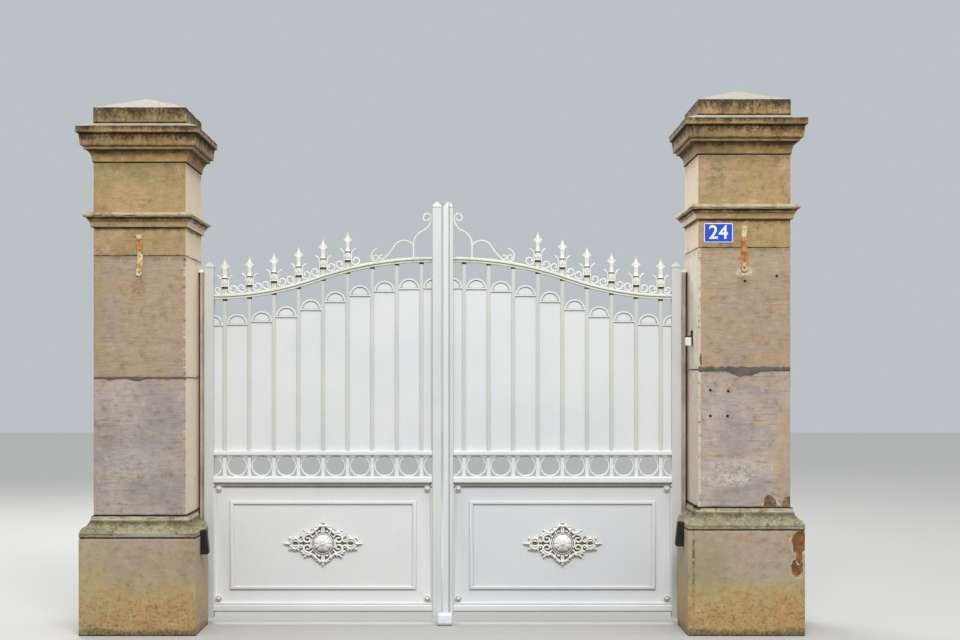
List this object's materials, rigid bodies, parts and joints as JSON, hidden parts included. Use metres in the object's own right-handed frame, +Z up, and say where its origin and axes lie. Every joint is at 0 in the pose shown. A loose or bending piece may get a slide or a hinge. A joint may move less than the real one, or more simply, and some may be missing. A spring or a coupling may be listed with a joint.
{
  "type": "driveway gate with stone piers",
  "caption": "Driveway gate with sheet-filled painted leaves, ogee top rail, cast spears and flat bar scrolls, hung between moulded sandstone piers.",
  "frame": {"origin": "on the ground at the centre of the opening, halfway through the piers' depth", "axes": "+Z up, the front faces -Y, +X to the right seen from the front"},
  "size_m": [3.744, 0.628, 2.843],
  "materials": {
    "sandstone": "weathered",
    "gate_paint": "gloss, weathered",
    "jamb_paint": "satin, weathered",
    "photocell_plastic": "satin",
    "sensor_bracket": "satin",
    "sensor_plastic": "satin",
    "rusty_iron": "rusted",
    "enamel": "gloss",
    "stop_metal": "worn"
  },
  "bodies": {
    "root": {"ground_stop": "stop_metal", "left_base_moulding": "sandstone", "left_capital_stone": "sandstone", "left_cornice": "sandstone", "left_iron_strap": "rusty_iron", "left_jamb": "jamb_paint", "left_lower_shaft_stone": "sandstone", "left_middle_shaft_stone": "sandstone", "left_photocell": "photocell_plastic", "left_plinth": "sandstone", "left_top_block": "sandstone", "number_plate": "enamel", "right_base_moulding": "sandstone", "right_capital_stone": "sandstone", "right_cornice": "sandstone", "right_iron_strap": "rusty_iron", "right_jamb": "jamb_paint", "right_lower_shaft_stone": "sandstone", "right_middle_shaft_stone": "sandstone", "right_photocell": "photocell_plastic", "right_plinth": "sandstone", "right_sensor_box": "sensor_plastic", "right_sensor_bracket": "sensor_bracket", "right_top_block": "sandstone"},
    "left_leaf": {"left_bars": "gate_paint", "left_bottom_rail": "gate_paint", "left_hinge_stile": "gate_paint", "left_kick_panel": "gate_paint", "left_lower_mid_rail": "gate_paint", "left_meeting_stile": "gate_paint", "left_ring_band": "gate_paint", "left_rosette": "gate_paint", "left_scrolls": "gate_paint", "left_slats": "gate_paint", "left_spears": "gate_paint", "left_top_rail": "gate_paint", "left_upper_mid_rail": "gate_paint"},
    "right_leaf": {"right_bars": "gate_paint", "right_bottom_rail": "gate_paint", "right_cover_strip": "gate_paint", "right_hinge_stile": "gate_paint", "right_kick_panel": "gate_paint", "right_lower_mid_rail": "gate_paint", "right_meeting_stile": "gate_paint", "right_ring_band": "gate_paint", "right_rosette": "gate_paint", "right_scrolls": "gate_paint", "right_slats": "gate_paint", "right_spears": "gate_paint", "right_top_rail": "gate_paint", "right_upper_mid_rail": "gate_paint"}
  },
  "joints": [
    {"name": "left_leaf_swing", "type": "hinge", "parent": "root", "child": "left_leaf", "pos_m": [-1.268, 0.165, 0.25], "axis": [0, 0, 1], "range_deg": [0, 90]},
    {"name": "right_leaf_swing", "type": "hinge", "parent": "root", "child": "right_leaf", "pos_m": [1.268, 0.165, 0.25], "axis": [0, 0, -1], "range_deg": [0, 90]}
  ]
}
